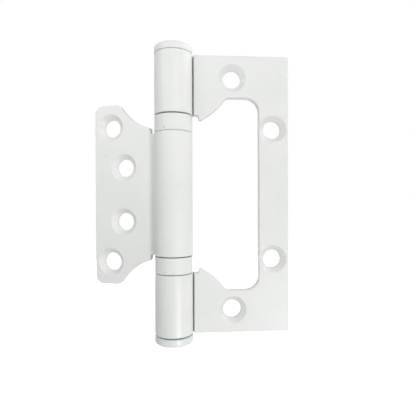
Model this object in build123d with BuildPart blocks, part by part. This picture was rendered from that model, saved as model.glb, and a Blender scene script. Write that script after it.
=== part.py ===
from build123d import *
import os
from math import cos, radians, sin

# Flush hinge, in millimetres. The pin stands along +Z, with the origin on its axis at mid-height.
# The outer leaf lies along +X with its countersunk face towards -Y. The inner leaf swings about
# the pin and closes into the outer leaf's window. A reach is measured from the pin's axis.

# Sheet, barrel and pose
leaf_height = 100.0
sheet = 2.8
barrel_diameter = 13.7
pin_clearance = 0.05  # radial, pin to knuckle bore
edge_round = 0.35  # stamped and coated edges
side_share = 0.95  # the most that a corner's round takes of the shorter side at that corner
rest_opening = 196.9  # degrees that the inner leaf stands open from closed

# Rolled knuckles
end_knuckle = 21.7  # each of the outer leaf's two knuckles
root_fillet = 0.8  # bend from the leaf into the roll
seam_gap = 0.55  # slot between the roll's free end and the leaf
seam_depth = 1.4  # slot, in from the leaf's face
roll_gap = 0.4  # slit from the slot into the bore
root_margin = 0.25  # flat strip between the roll and the blank

# Outer leaf
outer_reach = 41.8
outer_corner = 0.5
outer_notch = 1.0  # width of the relief notch beside each knuckle
notch_round = 0.8
ear_tip = 26.15  # half the distance between the ears beside the notches
tip_round = 0.7
slope_radius = 27.4  # sloped edge from an ear to the window
slope_end_reach = 19.05
slope_blend = 2.0
window_reach = 30.95
window_height = 69.7
window_corner = 5.0

# Inner leaf, by its clearances in the window
window_gap_reach = 0.65
window_gap_height = 1.7
ear_gap = 2.0
slope_gap = 1.4
inner_notch = 0.55
inner_notch_round = 0.5
shoulder_round = 0.4
inner_slope_radius = 19.3
inner_slope_blend = 2.0
inner_corner = 3.0

# Countersunk screw holes: reach, and half the distance between the two of a pair
screw_diameter = 6.5
screw_head_diameter = 10.0
screw_head_angle = 90
mouth_round = 0.2
outer_near_reach = 21.2
outer_near_drop = 0.5  # below the middle of the bar over the window
outer_far_inset = 0.35  # inside the middle of the bar beside the window
outer_far_height = 23.7
inner_near_screws = (18.9, 10.0)
inner_far_screws = (24.1, 24.9)

# Axial play, from the top of the barrel down
top_cap_gap = 0.1
upper_fixed_gap = 0.44
upper_turning_gap = 0.08
lower_turning_gap = 0.32
lower_fixed_gap = 0.25
bottom_cap_gap = 0.5

# Pin and end caps
cap_height = 2.7
cap_round = 0.9
spigot_length = 4.0
spigot_clearance = 0.02
pin_end_gap = 0.3
pin_chamfer = 0.6

# Ball bearings
bearing_height = 5.8
shell_wall = 0.45
shell_round = 0.2
stake_diameter = 0.7  # dot struck into each shell
stake_rise = 0.75  # above the shell's lower edge
stake_bearing = 241.4  # degrees about the pin, from the outer leaf
fixed_race_clearance = 0.02
turning_clearance = 0.15
ball_diameter = 1.5
ball_clearance = 0.06
ball_count = 12
cage_thickness = 0.5
cage_clearance = 0.15
pocket_clearance = 0.08

# Barrel
barrel_radius = barrel_diameter / 2
bore_radius = barrel_radius - sheet
pin_radius = bore_radius - pin_clearance
root_reach = barrel_radius + max(seam_gap, root_fillet) + root_margin

# Heights along the barrel
half_height = leaf_height / 2
end_knuckle_foot = half_height - end_knuckle
upper_bearing_mid = end_knuckle_foot - upper_fixed_gap - bearing_height / 2
lower_bearing_mid = lower_fixed_gap + bearing_height / 2 - end_knuckle_foot
centre_top = upper_bearing_mid - bearing_height / 2 - upper_turning_gap
centre_bottom = lower_bearing_mid + bearing_height / 2 + lower_turning_gap
centre_mid = (centre_top + centre_bottom) / 2
top_cap_foot = half_height + top_cap_gap
bottom_cap_foot = -half_height - bottom_cap_gap

# The inner leaf's mid-plane and face as it stands open
inner_along = Vector(cos(radians(rest_opening)), -sin(radians(rest_opening)), 0)
inner_facing = Vector(0, 0, 1).cross(inner_along)
inner_middle = Plane(origin=(0, 0, centre_mid), x_dir=inner_along, z_dir=-inner_facing)
inner_front = Plane(
    origin=Vector(0, 0, centre_mid) + inner_facing * (sheet / 2), x_dir=inner_along, z_dir=inner_facing
)
inner_foot = Plane(origin=(0, 0, centre_bottom), x_dir=inner_along, z_dir=(0, 0, 1))


def draw_knuckle():
    """Draw a rolled knuckle and the root of its leaf: the bend on +y and the open seam on -y."""
    Circle(barrel_radius)
    with Locations((root_reach / 2, 0)):
        Rectangle(root_reach, sheet)
    fillet(vertices().group_by(Axis.Y)[-1].sort_by(Axis.X)[0], root_fillet)
    Circle(bore_radius, mode=Mode.SUBTRACT)
    slit_height = seam_depth - sheet / 2 - roll_gap / 2
    seam_line = CenterArc((0, 0), barrel_radius + seam_gap / 2, -30, 30, mode=Mode.PRIVATE)
    SlotArc(seam_line, seam_gap, mode=Mode.SUBTRACT)
    with Locations(((bore_radius + barrel_radius) / 2, slit_height)):
        Rectangle(sheet + seam_gap, roll_gap, mode=Mode.SUBTRACT)


def round_corners(corners):
    """Round each given corner of the open sketch to its own radius, as far as its sides allow."""
    for corner, radius in corners:
        vertex = vertices().sort_by_distance(corner)[0]
        sides = edges().sort_by_distance(vertex)[:2]
        fillet(vertex, min(radius, side_share * min(side.length for side in sides)))


def sink_screw_holes(face, *pairs):
    """Sink pairs of screw holes into a leaf's face, and round their mouths."""
    with Locations(face):
        for reach, half_spacing in pairs:
            with Locations((reach, half_spacing), (reach, -half_spacing)):
                CounterSinkHole(
                    screw_diameter / 2, screw_head_diameter / 2, counter_sink_angle=screw_head_angle
                )
            circles = edges(Select.LAST).filter_by(GeomType.CIRCLE)
            fillet(circles.group_by(SortBy.RADIUS)[-1], mouth_round)


def round_rims(middle):
    """Round a leaf's rims on both faces, and the knuckle ends that run on from them."""
    flats = faces().filter_by(middle).sort_by(SortBy.AREA)[-2:]
    rims = ShapeList(edge for flat in flats for edge in flat.outer_wire().edges())
    roots = rims.filter_by(lambda edge: Vector(edge.center().X, edge.center().Y).length < root_reach)
    fillet(rims - roots.filter_by(Axis.Z), edge_round)


def keep(piece, name):
    """Label a finished piece and write it."""
    piece.part.label = name
    export_step(piece.part, f"parts/{name}.step")


os.makedirs("parts", exist_ok=True)

# Outer leaf: the upper half of the blank is drawn and mirrored, and a knuckle rolled at each end
outer_wall = root_reach + outer_notch
outer_tip = (outer_wall, ear_tip)
outer_notch_corner = (outer_wall, end_knuckle_foot)
outer_free_corner = (outer_reach, half_height)
window_far_corner = (window_reach, window_height / 2)
outer_slope_end = (slope_end_reach, window_height / 2)
outer_near_screws = (outer_near_reach, (half_height + window_height / 2) / 2 - outer_near_drop)
outer_far_screws = ((window_reach + outer_reach) / 2 - outer_far_inset, outer_far_height)

with BuildPart() as outer_leaf:
    with BuildSketch(Plane.XZ) as outer_blank:
        with BuildLine() as outer_outline:
            Polyline(
                outer_tip,
                outer_notch_corner,
                (root_reach, end_knuckle_foot),
                (root_reach, half_height),
                outer_free_corner,
                (outer_reach, 0),
                (window_reach, 0),
                window_far_corner,
                outer_slope_end,
            )
            RadiusArc(outer_slope_end, outer_tip, slope_radius)
        make_face()
        round_corners(
            [
                (outer_free_corner, outer_corner),
                (window_far_corner, window_corner),
                (outer_slope_end, slope_blend),
                (outer_tip, tip_round),
                (outer_notch_corner, notch_round),
            ]
        )
        mirror(about=Plane.XZ)
    extrude(amount=sheet / 2, both=True)
    with BuildSketch(Plane.XY.offset(end_knuckle_foot), Plane.XY.offset(-half_height)) as end_rolls:
        draw_knuckle()
    extrude(amount=end_knuckle)
    round_rims(Plane.XZ)
    sink_screw_holes(Plane.XZ.offset(sheet / 2), outer_near_screws, outer_far_screws)

keep(outer_leaf, "outer_leaf")

# Inner leaf: its blank clears the window all round when it closes, and has one long knuckle
inner_wall = root_reach + inner_notch
inner_strip = (centre_top - centre_bottom) / 2
inner_height = window_height / 2 - window_gap_height
inner_shoulder = (inner_wall, ear_tip - ear_gap)
inner_notch_corner = (inner_wall, inner_strip)
inner_free_corner = (window_reach - window_gap_reach, inner_height)
inner_slope_end = (slope_end_reach + slope_gap, inner_height)

with BuildPart() as inner_leaf:
    with BuildSketch(inner_middle) as inner_blank:
        with BuildLine() as inner_outline:
            Polyline(
                inner_shoulder,
                inner_notch_corner,
                (root_reach, inner_strip),
                (root_reach, 0),
                (window_reach - window_gap_reach, 0),
                inner_free_corner,
                inner_slope_end,
            )
            RadiusArc(inner_slope_end, inner_shoulder, inner_slope_radius)
        make_face()
        round_corners(
            [
                (inner_free_corner, inner_corner),
                (inner_slope_end, inner_slope_blend),
                (inner_shoulder, shoulder_round),
                (inner_notch_corner, inner_notch_round),
            ]
        )
        mirror(about=Plane.XZ)
    extrude(amount=sheet / 2, both=True)
    with BuildSketch(inner_foot) as centre_roll:
        draw_knuckle()
    extrude(amount=centre_top - centre_bottom)
    round_rims(inner_middle)
    sink_screw_holes(inner_front, inner_near_screws, inner_far_screws)

keep(inner_leaf, "inner_leaf")

# Pin: pressed into the outer leaf's knuckles, short of the two cap spigots
pin_top = top_cap_foot - spigot_length - pin_end_gap
pin_bottom = bottom_cap_foot + spigot_length + pin_end_gap

with BuildPart() as hinge_pin:
    with BuildSketch(Plane.XY.offset(pin_bottom)) as pin_section:
        Circle(pin_radius)
    extrude(amount=pin_top - pin_bottom)
    chamfer(edges().filter_by(GeomType.CIRCLE), pin_chamfer)

keep(hinge_pin, "hinge_pin")

# End caps: a turned button on a spigot that is pressed into the knuckle's bore
for name, foot, outward in (("top_cap", top_cap_foot, 1), ("bottom_cap", bottom_cap_foot, -1)):
    with BuildPart() as cap:
        with BuildSketch(Plane(origin=(0, 0, foot), x_dir=(1, 0, 0), z_dir=(0, -outward, 0))) as cap_section:
            Rectangle(barrel_radius, cap_height, align=(Align.MIN, Align.MIN))
            round_corners([((barrel_radius, cap_height), cap_round), ((barrel_radius, 0), edge_round)])
            Rectangle(bore_radius - spigot_clearance, spigot_length, align=(Align.MIN, Align.MAX))
        revolve(axis=Axis.Z)
    keep(cap, name)

# Ball bearings: a shell on the fixed race, which lies against an end knuckle, and a turning race
# on the centre knuckle's side. The balls run between the races in a cage.
shell_bore = barrel_radius - shell_wall
race_bore = pin_radius + turning_clearance
ball_pitch = (race_bore + shell_bore) / 2
race_gap = cage_thickness + 2 * cage_clearance
race_height = (bearing_height - race_gap) / 2


def draw_race(rim, side):
    """Draw a race's section from its bore to its rim, with its ball groove, on one side of the balls."""
    with Locations(((race_bore + rim) / 2, side * (race_gap + race_height) / 2)):
        Rectangle(rim - race_bore, race_height)
    with Locations((ball_pitch, 0)):
        Circle(ball_diameter / 2 + ball_clearance, mode=Mode.SUBTRACT)


for place, middle, outward in (("upper", upper_bearing_mid, 1), ("lower", lower_bearing_mid, -1)):
    bearing_section = Plane(origin=(0, 0, middle), x_dir=(1, 0, 0), z_dir=(0, -outward, 0))

    with BuildPart() as bearing_shell:
        with BuildSketch(bearing_section) as shell_section:
            with Locations(((shell_bore + barrel_radius) / 2, 0)):
                Rectangle(shell_wall, bearing_height)
            fillet(vertices().group_by(Axis.X)[-1], shell_round)
        revolve(axis=Axis.Z)
        stake = Vector(barrel_radius, 0, middle - bearing_height / 2 + stake_rise)
        with Locations(stake.rotate(Axis.Z, stake_bearing)):
            Sphere(stake_diameter / 2, mode=Mode.SUBTRACT)
    keep(bearing_shell, f"{place}_bearing_shell")

    with BuildPart() as fixed_race:
        with BuildSketch(bearing_section) as fixed_race_section:
            draw_race(shell_bore - fixed_race_clearance, 1)
        revolve(axis=Axis.Z)
    keep(fixed_race, f"{place}_fixed_race")

    with BuildPart() as turning_race:
        with BuildSketch(bearing_section) as turning_race_section:
            draw_race(shell_bore - turning_clearance, -1)
        revolve(axis=Axis.Z)
    keep(turning_race, f"{place}_turning_race")

    with BuildPart() as ball_cage:
        with BuildSketch(Plane.XY.offset(middle - cage_thickness / 2)) as cage_ring:
            Circle(shell_bore - cage_clearance)
            Circle(race_bore + cage_clearance, mode=Mode.SUBTRACT)
            with PolarLocations(ball_pitch, ball_count):
                Circle(ball_diameter / 2 + pocket_clearance, mode=Mode.SUBTRACT)
        extrude(amount=cage_thickness)
    keep(ball_cage, f"{place}_ball_cage")

    for number in range(ball_count):
        with BuildPart() as ball:
            with Locations(Vector(ball_pitch, 0, middle).rotate(Axis.Z, number * 360 / ball_count)):
                Sphere(ball_diameter / 2)
        keep(ball, f"{place}_ball_{number + 1}")
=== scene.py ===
"""Finishes a flush hinge: powder coat outside, ground and polished steel inside, on a plain studio floor."""

from math import radians

import bpy
from mathutils import Euler, Matrix, Vector


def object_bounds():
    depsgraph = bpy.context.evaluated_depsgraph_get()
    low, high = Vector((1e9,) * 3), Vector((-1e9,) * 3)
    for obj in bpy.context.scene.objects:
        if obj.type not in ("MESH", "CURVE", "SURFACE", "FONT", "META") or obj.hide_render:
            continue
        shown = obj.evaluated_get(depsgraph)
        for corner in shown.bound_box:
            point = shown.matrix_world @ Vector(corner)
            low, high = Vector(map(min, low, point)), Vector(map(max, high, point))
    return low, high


bl_info = {
    "name": "Flush Hinge Finish",
    "version": (1, 0, 0),
    "blender": (4, 5, 0),
    "location": "3D View > Sidebar > Hinge",
    "description": "Coats the hinge, finishes its bearings and sets a studio around it",
    "category": "Object",
}

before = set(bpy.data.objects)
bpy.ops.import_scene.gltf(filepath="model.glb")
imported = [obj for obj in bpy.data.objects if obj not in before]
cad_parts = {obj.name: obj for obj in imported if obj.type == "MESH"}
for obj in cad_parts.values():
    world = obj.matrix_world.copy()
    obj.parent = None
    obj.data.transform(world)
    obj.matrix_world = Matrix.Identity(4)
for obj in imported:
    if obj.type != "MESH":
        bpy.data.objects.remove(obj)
cad_low, cad_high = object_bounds()

MM = 0.001
LEAVES = ("outer_leaf", "inner_leaf")
CAPS = ("top_cap", "bottom_cap")
PLACES = ("upper", "lower")

# Each lamp's angles to the right of straight ahead and upwards, in degrees, its distance and width in metres,
# and whether it leaves a highlight.
LAMPS = {
    "key": {"azimuth": 90, "elevation": 35, "distance": 0.5, "width": 0.4, "shine": True},
    "front": {"azimuth": 20, "elevation": 25, "distance": 0.5, "width": 0.2, "shine": False},
    "low": {"azimuth": 28, "elevation": -26, "distance": 0.5, "width": 0.1, "shine": True},
    "fill": {"azimuth": -50, "elevation": 32, "distance": 0.2, "width": 0.1, "shine": False},
    "back": {"azimuth": 180, "elevation": 0, "distance": 2.0, "width": 0.3, "shine": False},
}

# Pairs of limits: what is read, and what it is turned into.
UNIT = (0.0, 1.0)
EDGE_BEND = (0.8, 0.99)  # cosine between the rounded and the true normal, on an edge and beside it
EDGE_THINNESS = (0.5, 0.0)
CLOUD_NOISE = (0.35, 0.75)
CLOUD_THINNESS = (0.0, 0.35)
GAP_ROOM = (0.3, 0.8)  # share of open directions, deep in a gap and out of it
# Painted shade: how far the coat is mixed toward the cooler, darker gap colour, deep in a gap and out of it.
GAP_SHADE = (1.0, 0.0)
FLECK_STRENGTH = (0.7, 0.0)
PEEL_NOISE = (0.3, 0.7)
COAT_ROUGHNESS = (0.34, 0.42)
PIN_ROUGHNESS = (0.2, 0.4)
BEARING_ROUGHNESS = (0.08, 0.24)
NYLON_ROUGHNESS = (0.4, 0.55)

COAT_IOR = 1.5
NYLON_IOR = 1.53
NYLON_DEPTH = (1.2 * MM, 1.0 * MM, 0.7 * MM)  # how far red, green and blue light go into it
NYLON_CLARITY = 0.15
FEELERS = 6  # rays that feel for an edge or a facing wall


def linear(hex_colour):
    """An sRGB hex colour as linear red, green and blue."""
    parts = [int(hex_colour[i : i + 2], 16) / 255 for i in (1, 3, 5)]
    return tuple(p / 12.92 if p <= 0.04045 else ((p + 0.055) / 1.055) ** 2.4 for p in parts)


def opaque(colour):
    """A colour with full alpha, as colour sockets take it."""
    return (*colour, 1.0)


def add_node(tree, kind, inputs=None, **settings):
    """Add a node with its settings. Each input is a value, or the output socket to link to it."""
    node = tree.nodes.new(kind)
    for name, value in settings.items():
        setattr(node, name, value)
    for socket, value in (inputs or {}).items():
        if isinstance(value, bpy.types.NodeSocket):
            tree.links.new(value, node.inputs[socket])
        else:
            node.inputs[socket].default_value = value
    return node


def start_material(name):
    """A new material's empty tree and its object coordinates."""
    material = bpy.data.materials.new(name)
    material.use_nodes = True
    tree = material.node_tree
    tree.nodes.clear()
    return material, tree, add_node(tree, "ShaderNodeTexCoord").outputs["Object"]


def finish_material(tree, shader):
    """Link a shader to the material's surface."""
    add_node(tree, "ShaderNodeOutputMaterial", {"Surface": shader.outputs[0]})


def noise(tree, place, width, detail=2.0, **inputs):
    """Soft noise with patches of a given width."""
    sockets = {"Vector": place, "Scale": 1 / width, "Detail": detail, **inputs}
    return add_node(tree, "ShaderNodeTexNoise", sockets).outputs["Fac"]


def stretched_noise(tree, place, widths):
    """Soft noise with its own width along each axis."""
    scale = [1 / width for width in widths]
    stretched = add_node(tree, "ShaderNodeMapping", {"Vector": place, "Scale": scale})
    return noise(tree, stretched.outputs["Vector"], 1.0)


def remap(tree, value, limits, targets):
    """A value carried from its limits to its targets, and held there beyond them."""
    sockets = dict(zip(("From Min", "From Max", "To Min", "To Max"), (*limits, *targets)))
    return add_node(tree, "ShaderNodeMapRange", {"Value": value, **sockets}).outputs["Result"]


def combine(tree, operation, first, second, clamp=False):
    """A value worked out from two others."""
    node = add_node(tree, "ShaderNodeMath", {0: first, 1: second}, operation=operation, use_clamp=clamp)
    return node.outputs[0]


def mix_colours(tree, factor, first, second):
    """The first colour where the factor is 0 and the second where it is 1. Each is a colour or a socket."""
    ends = [c if isinstance(c, bpy.types.NodeSocket) else opaque(c) for c in (first, second)]
    sockets = {"Factor": factor, "A": ends[0], "B": ends[1]}
    return add_node(tree, "ShaderNodeMix", sockets, data_type="RGBA").outputs["Result"]


def bump(tree, height, depth, strength=1.0, **inputs):
    """A normal that follows a height."""
    sockets = {"Strength": strength, "Distance": depth, "Height": height, **inputs}
    return add_node(tree, "ShaderNodeBump", sockets).outputs["Normal"]


def assign(material, *names):
    """Give a material to CAD nodes' own slots."""
    for name in names:
        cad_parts[name].material_slots[0].material = material


class CoatSettings(bpy.types.PropertyGroup):
    """The powder coat's colours and the sizes of its marks."""

    colour: bpy.props.FloatVectorProperty(
        name="Colour",
        description="The coat where it lies even",
        subtype="COLOR",
        default=linear("#EEEDEB"),
    )
    thin_colour: bpy.props.FloatVectorProperty(
        name="Thin colour",
        description="The coat where it lies thinner, over edges and in faint clouds",
        subtype="COLOR",
        default=linear("#E0E0DD"),
    )
    fleck_colour: bpy.props.FloatVectorProperty(
        name="Fleck colour",
        description="Dust baked into the coat",
        subtype="COLOR",
        default=linear("#A9ADA5"),
    )
    # Painted shade: a cooler, darker coat colour mixed in where ambient occlusion finds a near wall, so that
    # gaps and creases look shaded.
    gap_shade_colour: bpy.props.FloatVectorProperty(
        name="Gap colour",
        description="The coat deep in a gap, where little powder settles, so that it looks cooler",
        subtype="COLOR",
        default=linear("#DCE6E3"),
    )
    # Reach of the ambient occlusion that lays the painted shade into gaps and creases.
    gap: bpy.props.FloatProperty(
        name="Gap",
        description="Distance within which a facing wall keeps the powder out",
        unit="LENGTH",
        default=2 * MM,
    )
    peel: bpy.props.FloatProperty(
        name="Orange peel",
        description="Width of one wave of the coat's surface",
        unit="LENGTH",
        default=1.3 * MM,
    )
    peel_depth: bpy.props.FloatProperty(
        name="Peel depth",
        description="Height of the waves",
        unit="LENGTH",
        default=0.004 * MM,
    )
    cloud: bpy.props.FloatProperty(
        name="Clouds",
        description="Width of the coat's thicker and thinner patches",
        unit="LENGTH",
        default=14 * MM,
    )
    fleck: bpy.props.FloatProperty(
        name="Fleck",
        description="Radius of a fleck",
        unit="LENGTH",
        default=0.25 * MM,
    )
    fleck_spacing: bpy.props.FloatProperty(
        name="Fleck spacing",
        description="Room that each fleck has to itself",
        unit="LENGTH",
        default=7 * MM,
    )
    draw_width: bpy.props.FloatProperty(
        name="Draw marks",
        description="Width of the marks that rolling the sheet left along the barrel",
        unit="LENGTH",
        default=0.5 * MM,
    )
    draw_length: bpy.props.FloatProperty(
        name="Draw length",
        description="Length of those marks",
        unit="LENGTH",
        default=30 * MM,
    )
    draw_depth: bpy.props.FloatProperty(
        name="Draw depth",
        description="Depth of those marks as they show through the coat",
        unit="LENGTH",
        default=0.004 * MM,
    )
    edge: bpy.props.FloatProperty(
        name="Thin edge",
        description="How far the coat draws back from an edge",
        unit="LENGTH",
        default=0.35 * MM,
    )


class SteelSettings(bpy.types.PropertyGroup):
    """The colours and grinding marks of the steel and nylon inside the barrel."""

    pin_colour: bpy.props.FloatVectorProperty(
        name="Pin",
        description="Ground carbon steel",
        subtype="COLOR",
        default=linear("#B9B9B7"),
    )
    pin_line_colour: bpy.props.FloatVectorProperty(
        name="Pin lines",
        description="The pin where its grinding lines lie",
        subtype="COLOR",
        default=linear("#A3A3A0"),
    )
    bearing_colour: bpy.props.FloatVectorProperty(
        name="Bearing",
        description="Polished bearing steel",
        subtype="COLOR",
        default=linear("#CBCCCD"),
    )
    film_colour: bpy.props.FloatVectorProperty(
        name="Grease film",
        description="Bearing steel under a film of grease",
        subtype="COLOR",
        default=linear("#B8B6AE"),
    )
    nylon_colour: bpy.props.FloatVectorProperty(
        name="Cage",
        description="Natural nylon",
        subtype="COLOR",
        default=linear("#E6DFCB"),
    )
    nylon_grain_colour: bpy.props.FloatVectorProperty(
        name="Cage grain",
        description="Nylon where its grain lies deep",
        subtype="COLOR",
        default=linear("#D6CDB4"),
    )
    grinding: bpy.props.FloatProperty(
        name="Grinding lines",
        description="Spacing of the grinding lines round the pin",
        unit="LENGTH",
        default=0.2 * MM,
    )
    grinding_length: bpy.props.FloatProperty(
        name="Grinding length",
        description="Length over which a grinding line changes",
        unit="LENGTH",
        default=1 / 30,
    )
    grinding_depth: bpy.props.FloatProperty(
        name="Grinding depth",
        description="Depth of the grinding lines",
        unit="LENGTH",
        default=0.004 * MM,
    )
    scratch: bpy.props.FloatProperty(
        name="Scratches",
        description="Spacing of the fine scratches on races and balls",
        unit="LENGTH",
        default=0.3 * MM,
    )
    grain: bpy.props.FloatProperty(
        name="Moulded grain",
        description="Grain of the moulded cage",
        unit="LENGTH",
        default=0.15 * MM,
    )
    grain_depth: bpy.props.FloatProperty(
        name="Grain depth",
        description="Depth of that grain",
        unit="LENGTH",
        default=0.005 * MM,
    )


class StageSettings(bpy.types.PropertyGroup):
    """The camera, lamps and floor."""

    eye: bpy.props.FloatVectorProperty(
        name="Camera",
        description="Where the camera stands",
        subtype="TRANSLATION",
        unit="LENGTH",
        default=(2.6 * MM, -132.55 * MM, -3.98 * MM),
    )
    turn: bpy.props.FloatProperty(
        name="Turn",
        description="The camera's turn to the right",
        subtype="ANGLE",
        default=radians(4.23),
    )
    dip: bpy.props.FloatProperty(
        name="Dip",
        description="How far the camera looks down",
        subtype="ANGLE",
        default=radians(0.424),
    )
    roll: bpy.props.FloatProperty(
        name="Roll",
        description="The camera's turn about its own axis",
        subtype="ANGLE",
        default=radians(0.184),
    )
    lens: bpy.props.FloatProperty(
        name="Lens",
        description="Focal length in millimetres",
        unit="CAMERA",
        default=31.6,
    )
    sensor: bpy.props.FloatProperty(
        name="Sensor",
        description="Width of the camera's sensor in millimetres",
        unit="CAMERA",
        default=36.0,
    )
    near_limit: bpy.props.FloatProperty(
        name="Near limit",
        description="How near the camera still sees",
        unit="LENGTH",
        default=5 * MM,
    )
    ambient: bpy.props.FloatProperty(
        name="Ambient",
        description="Even light from all round",
        default=0.28,
    )
    ambient_colour: bpy.props.FloatVectorProperty(
        name="Ambient colour",
        description="Tint of the even light, which shows in the shaded gaps",
        subtype="COLOR",
        default=linear("#F4FFFD"),
    )
    key_power: bpy.props.FloatProperty(
        name="Key lamp",
        description="Power of the broad lamp on the right",
        unit="POWER",
        default=1.03,
    )
    front_power: bpy.props.FloatProperty(
        name="Front lamp",
        description="Power of the lamp in front, above the camera",
        unit="POWER",
        default=0.57,
    )
    low_power: bpy.props.FloatProperty(
        name="Low lamp",
        description="Power of the small low lamp, which draws the streak down the lower knuckle",
        unit="POWER",
        default=0.76,
    )
    fill_power: bpy.props.FloatProperty(
        name="Fill lamp",
        description="Power of the small near lamp on the left",
        unit="POWER",
        default=0.13,
    )
    back_power: bpy.props.FloatProperty(
        name="Back lamp",
        description="Power of the lamp behind, which lights the seating faces",
        unit="POWER",
        default=12.0,
    )
    floor_drop: bpy.props.FloatProperty(
        name="Floor drop",
        description="How far below the hinge the floor lies",
        unit="LENGTH",
        default=250 * MM,
    )
    floor_reach: bpy.props.FloatProperty(
        name="Floor reach",
        description="How far the floor goes each way",
        unit="LENGTH",
        default=3.0,
    )
    floor_colour: bpy.props.FloatVectorProperty(
        name="Floor",
        description="The floor's own colour",
        subtype="COLOR",
        default=linear("#E4E4E2"),
    )
    floor_patch_colour: bpy.props.FloatVectorProperty(
        name="Floor patches",
        description="The floor's colour in its faint patches",
        subtype="COLOR",
        default=linear("#E1E1DF"),
    )
    floor_patch: bpy.props.FloatProperty(
        name="Patch width",
        description="Width of those patches",
        unit="LENGTH",
        default=40 * MM,
    )
    floor_lift: bpy.props.FloatProperty(
        name="Floor lift",
        description="Light added to the floor as the camera sees it, so that it is white outside the shadow",
        default=0.85,
    )


class HingeSettings(bpy.types.PropertyGroup):
    """All of the hinge's settings."""

    coat: bpy.props.PointerProperty(type=CoatSettings)
    steel: bpy.props.PointerProperty(type=SteelSettings)
    stage: bpy.props.PointerProperty(type=StageSettings)


def white_powder_coat(coat):
    """Polyester powder, sprayed and baked on steel: a satin, faintly waved skin, thin at its edges, with
    painted shade laid into its gaps.
    """
    material, tree, place = start_material("white_powder_coat")
    rounded = add_node(tree, "ShaderNodeBevel", {"Radius": coat.edge}, samples=FEELERS).outputs["Normal"]
    face = add_node(tree, "ShaderNodeNewGeometry").outputs["Normal"]
    bend = add_node(tree, "ShaderNodeVectorMath", {0: rounded, 1: face}, operation="DOT_PRODUCT")
    thin_edge = remap(tree, bend.outputs["Value"], EDGE_BEND, EDGE_THINNESS)
    clouds = noise(tree, place, coat.cloud, detail=3.0, Roughness=0.55)
    thin_cloud = remap(tree, clouds, CLOUD_NOISE, CLOUD_THINNESS)
    thinness = combine(tree, "ADD", thin_edge, thin_cloud, clamp=True)
    skin = mix_colours(tree, thinness, coat.colour, coat.thin_colour)

    # Painted shade: ambient occlusion within the gap distance mixes the coat toward the cooler, darker gap
    # colour in gaps and creases.
    room = add_node(tree, "ShaderNodeAmbientOcclusion", {"Distance": coat.gap}, samples=FEELERS)
    gap_shade = remap(tree, room.outputs["AO"], GAP_ROOM, GAP_SHADE)
    gap_shaded_coat = mix_colours(tree, gap_shade, skin, coat.gap_shade_colour)

    dust = add_node(tree, "ShaderNodeTexVoronoi", {"Vector": place, "Scale": 1 / coat.fleck_spacing})
    rim = coat.fleck / coat.fleck_spacing
    fleck = remap(tree, dust.outputs["Distance"], (rim / 2, rim), FLECK_STRENGTH)
    flecked = mix_colours(tree, fleck, gap_shaded_coat, coat.fleck_colour)

    drawn = stretched_noise(tree, place, (coat.draw_width, coat.draw_width, coat.draw_length))
    marked = bump(tree, drawn, coat.draw_depth, Normal=rounded)
    waves = noise(tree, place, coat.peel, detail=1.0, Roughness=0.4)
    inputs = {
        "Base Color": flecked,
        "Roughness": remap(tree, waves, PEEL_NOISE, COAT_ROUGHNESS),
        "IOR": COAT_IOR,
        "Normal": bump(tree, waves, coat.peel_depth, Normal=marked),
    }
    finish_material(tree, add_node(tree, "ShaderNodeBsdfPrincipled", inputs))
    return material


def ground_steel(steel):
    """Carbon steel ground between wheels: grey metal with fine lines round it."""
    material, tree, place = start_material("ground_pin_steel")
    lines = stretched_noise(tree, place, (steel.grinding_length, steel.grinding_length, steel.grinding))
    inputs = {
        "Base Color": mix_colours(tree, lines, steel.pin_colour, steel.pin_line_colour),
        "Metallic": 1.0,
        "Roughness": remap(tree, lines, UNIT, PIN_ROUGHNESS),
        "Normal": bump(tree, lines, steel.grinding_depth, strength=0.4),
    }
    finish_material(tree, add_node(tree, "ShaderNodeBsdfPrincipled", inputs))
    return material


def polished_steel(steel):
    """Hardened bearing steel, polished: bright, with fine crossing scratches and a film of grease."""
    material, tree, place = start_material("polished_bearing_steel")
    scratches = noise(tree, place, steel.scratch, detail=4.0, Distortion=2.0)
    inputs = {
        "Base Color": mix_colours(tree, scratches, steel.bearing_colour, steel.film_colour),
        "Metallic": 1.0,
        "Roughness": remap(tree, scratches, UNIT, BEARING_ROUGHNESS),
    }
    finish_material(tree, add_node(tree, "ShaderNodeBsdfPrincipled", inputs))
    return material


def natural_nylon(steel):
    """Nylon moulded without pigment: ivory, a little see-through at its edges, with a fine grain."""
    material, tree, place = start_material("natural_nylon")
    grain = noise(tree, place, steel.grain)
    inputs = {
        "Base Color": mix_colours(tree, grain, steel.nylon_colour, steel.nylon_grain_colour),
        "Roughness": remap(tree, grain, UNIT, NYLON_ROUGHNESS),
        "IOR": NYLON_IOR,
        "Subsurface Weight": NYLON_CLARITY,
        "Subsurface Radius": NYLON_DEPTH,
        "Normal": bump(tree, grain, steel.grain_depth, strength=0.3),
    }
    finish_material(tree, add_node(tree, "ShaderNodeBsdfPrincipled", inputs))
    return material


def coat_material(context):
    """The one powder coat that all the outer pieces share."""
    return bpy.data.materials.get("white_powder_coat") or white_powder_coat(context.scene.flush_hinge.coat)


class HINGE_OT_coat_leaves(bpy.types.Operator):
    """Coat the outer and the inner leaf"""

    bl_idname = "hinge.coat_leaves"
    bl_label = "Coat leaves"

    def execute(self, context):
        assign(coat_material(context), *LEAVES)
        return {"FINISHED"}


class HINGE_OT_coat_caps(bpy.types.Operator):
    """Coat the two end caps"""

    bl_idname = "hinge.coat_caps"
    bl_label = "Coat caps"

    def execute(self, context):
        assign(coat_material(context), *CAPS)
        return {"FINISHED"}


class HINGE_OT_coat_shells(bpy.types.Operator):
    """Coat the two bearing shells"""

    bl_idname = "hinge.coat_shells"
    bl_label = "Coat bearing shells"

    def execute(self, context):
        assign(coat_material(context), *(f"{place}_bearing_shell" for place in PLACES))
        return {"FINISHED"}


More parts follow.
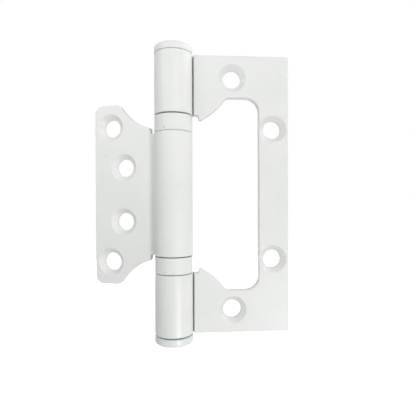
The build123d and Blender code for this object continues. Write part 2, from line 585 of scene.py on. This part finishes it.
class HINGE_OT_grind_pin(bpy.types.Operator):
    """Finish the pin as ground steel"""

    bl_idname = "hinge.grind_pin"
    bl_label = "Grind pin"

    def execute(self, context):
        assign(ground_steel(context.scene.flush_hinge.steel), "hinge_pin")
        return {"FINISHED"}


class HINGE_OT_polish_bearings(bpy.types.Operator):
    """Finish the races and balls as polished steel"""

    bl_idname = "hinge.polish_bearings"
    bl_label = "Polish bearings"

    def execute(self, context):
        races = [f"{place}_{race}" for place in PLACES for race in ("fixed_race", "turning_race")]
        balls = [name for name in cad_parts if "_ball_" in name and not name.endswith("_cage")]
        assign(polished_steel(context.scene.flush_hinge.steel), *races, *balls)
        return {"FINISHED"}


class HINGE_OT_mould_cages(bpy.types.Operator):
    """Finish the two ball cages as moulded nylon"""

    bl_idname = "hinge.mould_cages"
    bl_label = "Mould cages"

    def execute(self, context):
        assign(natural_nylon(context.scene.flush_hinge.steel), *(f"{place}_ball_cage" for place in PLACES))
        return {"FINISHED"}


def seen_ray(tree):
    """1 on rays that show the background itself or its image in metal and glass, and 0 on others."""
    path = add_node(tree, "ShaderNodeLightPath")
    shown = path.outputs["Is Camera Ray"]
    for kind in ("Is Glossy Ray", "Is Transmission Ray"):
        shown = combine(tree, "MAXIMUM", shown, path.outputs[kind])
    return shown


def studio_floor(stage):
    """Matt painted board: pale, lifted to white as it is seen, so that only the shadow shows."""
    material, tree, place = start_material("pale_studio_board")
    patches = noise(tree, place, stage.floor_patch)
    shade = mix_colours(tree, patches, stage.floor_colour, stage.floor_patch_colour)
    board = add_node(tree, "ShaderNodeBsdfDiffuse", {"Color": shade})
    lift = combine(tree, "MULTIPLY", seen_ray(tree), stage.floor_lift)
    glow = add_node(tree, "ShaderNodeEmission", {"Strength": lift})
    both = add_node(tree, "ShaderNodeAddShader", {0: board.outputs[0], 1: glow.outputs[0]})
    finish_material(tree, both)
    return material


def add_object(name, data):
    """Link a new object to the scene."""
    made = bpy.data.objects.new(name, data)
    bpy.context.scene.collection.objects.link(made)
    return made


def add_lamp(name, aim, power, azimuth, elevation, distance, width, shine):
    """A square lamp that faces a point, placed by its angles to the right of straight ahead and upwards."""
    data = bpy.data.lights.new(name, "AREA")
    data.shape = "SQUARE"
    data.size = width
    data.energy = power
    lamp = add_object(name, data)
    turned = Euler((-radians(elevation), 0, radians(azimuth))).to_matrix()
    away = turned @ Vector((0, -distance, 0))
    lamp.location = aim + away
    lamp.rotation_euler = away.to_track_quat("Z", "Y").to_euler()
    lamp.visible_camera = False
    lamp.visible_glossy = shine


def add_floor(stage):
    """A square floor below the hinge."""
    reach = stage.floor_reach
    level = cad_low.z - stage.floor_drop
    sides = ((-reach, -reach), (reach, -reach), (reach, reach), (-reach, reach))
    data = bpy.data.meshes.new("studio_floor")
    data.from_pydata([(x, y, level) for x, y in sides], [], [(0, 1, 2, 3)])
    data.materials.append(studio_floor(stage))
    return add_object("studio_floor", data)


def white_surroundings(stage):
    """A world that is white where it is seen and gives a dim, even light elsewhere."""
    world = bpy.data.worlds.new("white_surroundings")
    world.use_nodes = True
    tree = world.node_tree
    tree.nodes.clear()
    shown = seen_ray(tree)
    inputs = {
        "Color": mix_colours(tree, shown, stage.ambient_colour, linear("#FFFFFF")),
        "Strength": remap(tree, shown, UNIT, (stage.ambient, 1.0)),
    }
    sky = add_node(tree, "ShaderNodeBackground", inputs)
    add_node(tree, "ShaderNodeOutputWorld", {"Surface": sky.outputs[0]})
    return world


def add_camera(stage):
    """The camera, turned, dipped and rolled from a level look along +Y."""
    data = bpy.data.cameras.new("product_camera")
    data.sensor_fit = "HORIZONTAL"
    data.sensor_width = stage.sensor
    data.lens = stage.lens
    data.clip_start = stage.near_limit
    camera = add_object("product_camera", data)
    turned = Euler((radians(90) - stage.dip, stage.roll, -stage.turn)).to_matrix().to_4x4()
    camera.matrix_world = Matrix.Translation(stage.eye) @ turned
    return camera


class HINGE_OT_set_stage(bpy.types.Operator):
    """Set the floor, the white surroundings, the lamps and the camera"""

    bl_idname = "hinge.set_stage"
    bl_label = "Set stage"

    def execute(self, context):
        stage = context.scene.flush_hinge.stage
        floor = add_floor(stage)
        context.scene.world = white_surroundings(stage)
        middle = (cad_low + cad_high) / 2
        for name, placing in LAMPS.items():
            add_lamp(f"{name}_lamp", middle, getattr(stage, f"{name}_power"), **placing)
        context.scene.camera = add_camera(stage)
        context.scene.view_settings.view_transform = "Standard"
        return {"FINISHED"}


class HINGE_PT_finish(bpy.types.Panel):
    """The hinge's finishes and stage"""

    bl_idname = "HINGE_PT_finish"
    bl_label = "Flush Hinge"
    bl_space_type = "VIEW_3D"
    bl_region_type = "UI"
    bl_category = "Hinge"

    def draw(self, context):
        settings = context.scene.flush_hinge
        for heading, group in (("Coat", settings.coat), ("Steel", settings.steel), ("Stage", settings.stage)):
            box = self.layout.box()
            box.label(text=heading)
            for name in group.bl_rna.properties.keys():
                if name not in ("rna_type", "name"):
                    box.prop(group, name)
        for operator in OPERATORS:
            self.layout.operator(operator.bl_idname)


OPERATORS = (
    HINGE_OT_coat_leaves,
    HINGE_OT_coat_caps,
    HINGE_OT_coat_shells,
    HINGE_OT_grind_pin,
    HINGE_OT_polish_bearings,
    HINGE_OT_mould_cages,
    HINGE_OT_set_stage,
)
CLASSES = (CoatSettings, SteelSettings, StageSettings, HingeSettings, *OPERATORS, HINGE_PT_finish)


def register():
    """Register the settings, operators and panel."""
    for each in CLASSES:
        bpy.utils.register_class(each)
    bpy.types.Scene.flush_hinge = bpy.props.PointerProperty(type=HingeSettings)


def unregister():
    """Take away what register added."""
    del bpy.types.Scene.flush_hinge
    for each in reversed(CLASSES):
        bpy.utils.unregister_class(each)


def main():
    """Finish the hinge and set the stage."""
    register()
    bpy.ops.hinge.coat_leaves()
    bpy.ops.hinge.coat_caps()
    bpy.ops.hinge.coat_shells()
    bpy.ops.hinge.grind_pin()
    bpy.ops.hinge.polish_bearings()
    bpy.ops.hinge.mould_cages()
    bpy.ops.hinge.set_stage()


if __name__ == "__main__":
    main()
